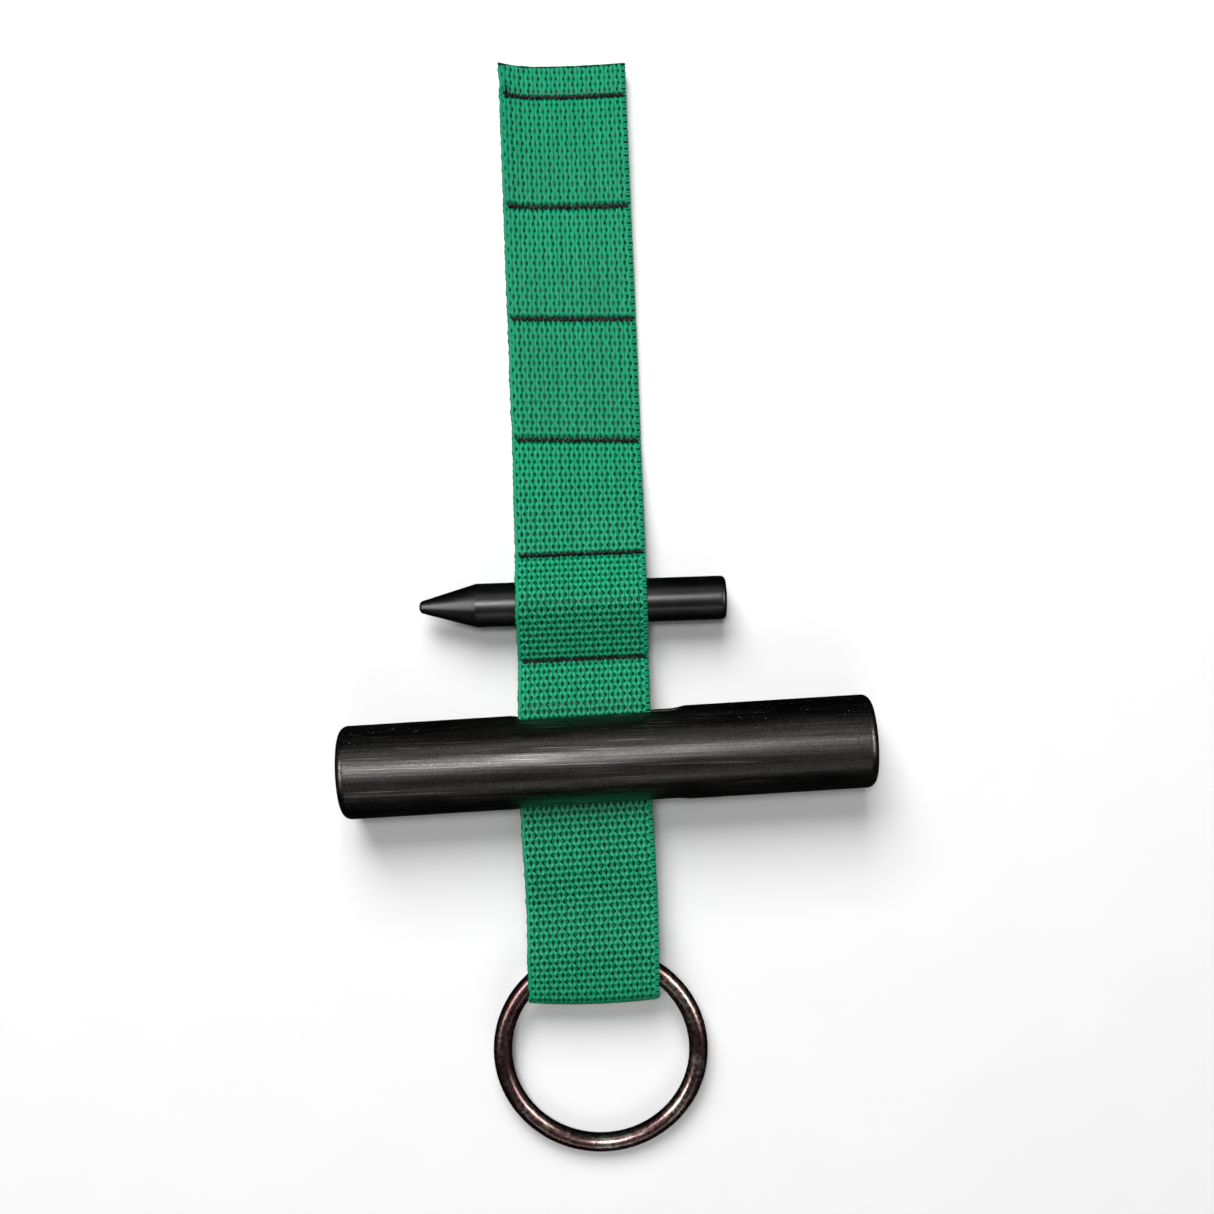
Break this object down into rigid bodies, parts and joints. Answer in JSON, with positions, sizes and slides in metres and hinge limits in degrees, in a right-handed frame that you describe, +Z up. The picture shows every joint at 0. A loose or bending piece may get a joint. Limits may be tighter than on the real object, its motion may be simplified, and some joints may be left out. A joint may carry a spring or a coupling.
{
  "type": "strap tourniquet",
  "caption": "Stitched green webbing pocket strap with a pointed toggle pin, a slotted black windlass bar and a steel ring.",
  "frame": {"origin": "middle of the whole object's box, on the plane it rests on", "axes": "+Y along the strap from the ring to the free end, +Z up from the ground, +X along the windlass bar"},
  "size_m": [0.153, 0.3194, 0.0267],
  "materials": {
    "webbing": "woven, slightly shiny synthetic",
    "thread": "heavy black sewing thread",
    "toggle_pin": "turned black plastic rod, lightly scratched",
    "windlass_bar": "smooth black plastic rod, lightly scratched",
    "ring": "dark plating, worn bright in places"
  },
  "bodies": {
    "neck": {"neck_front": "webbing", "neck_back": "webbing", "seam_6": "thread"},
    "windlass": {"windlass_bar": "windlass_bar"},
    "loop": {"ring_loop": "webbing"},
    "ring": {"ring": "ring"},
    "pocket_5": {"pocket_5_front": "webbing", "pocket_5_back": "webbing", "seam_5": "thread"},
    "pin": {"toggle_pin": "toggle_pin"},
    "pocket_4": {"pocket_4_front": "webbing", "pocket_4_back": "webbing", "seam_4": "thread"},
    "pocket_3": {"pocket_3_front": "webbing", "pocket_3_back": "webbing", "seam_3": "thread"},
    "pocket_2": {"pocket_2_front": "webbing", "pocket_2_back": "webbing", "seam_2": "thread"},
    "pocket_1": {"pocket_1_front": "webbing", "pocket_1_back": "webbing", "seam_1": "thread", "end_tab_front": "webbing", "end_tab_back": "webbing"}
  },
  "joints": [
    {"name": "windlass_slide", "type": "slide", "parent": "neck", "child": "windlass", "axis": [0, 1, 0], "range_m": [-0.014, 0.002]},
    {"name": "ring_swing", "type": "hinge", "parent": "neck", "child": "loop", "pos_m": [-0.0061, -0.0734, 0.01335], "axis": [1, 0, 0], "range_deg": [-80, 65]},
    {"name": "ring_spin", "type": "hinge", "parent": "loop", "child": "ring", "pos_m": [-0.0047, -0.12873, 0.0063], "axis": [0, -0.1264, 0.992], "continuous": true},
    {"name": "pin_slide", "type": "slide", "parent": "pocket_5", "child": "pin", "axis": [1, 0, 0], "range_m": [-0.06, 0.064]},
    {"name": "seam_6_bend", "type": "hinge", "parent": "neck", "child": "pocket_5", "pos_m": [-0.0061, -0.0147, 0.00825], "axis": [1, 0, 0], "range_deg": [-50, 50]},
    {"name": "seam_5_bend", "type": "hinge", "parent": "pocket_5", "child": "pocket_4", "pos_m": [-0.0061, 0.0155, 0.00825], "axis": [1, 0, 0], "range_deg": [-50, 50]},
    {"name": "seam_4_bend", "type": "hinge", "parent": "pocket_4", "child": "pocket_3", "pos_m": [-0.0061, 0.0494, 0.0016], "axis": [1, 0, 0], "range_deg": [-50, 50]},
    {"name": "seam_3_bend", "type": "hinge", "parent": "pocket_3", "child": "pocket_2", "pos_m": [-0.0061, 0.085, 0.0016], "axis": [1, 0, 0], "range_deg": [-50, 50]},
    {"name": "seam_2_bend", "type": "hinge", "parent": "pocket_2", "child": "pocket_1", "pos_m": [-0.0061, 0.1179, 0.0016], "axis": [1, 0, 0], "range_deg": [-50, 50]}
  ]
}
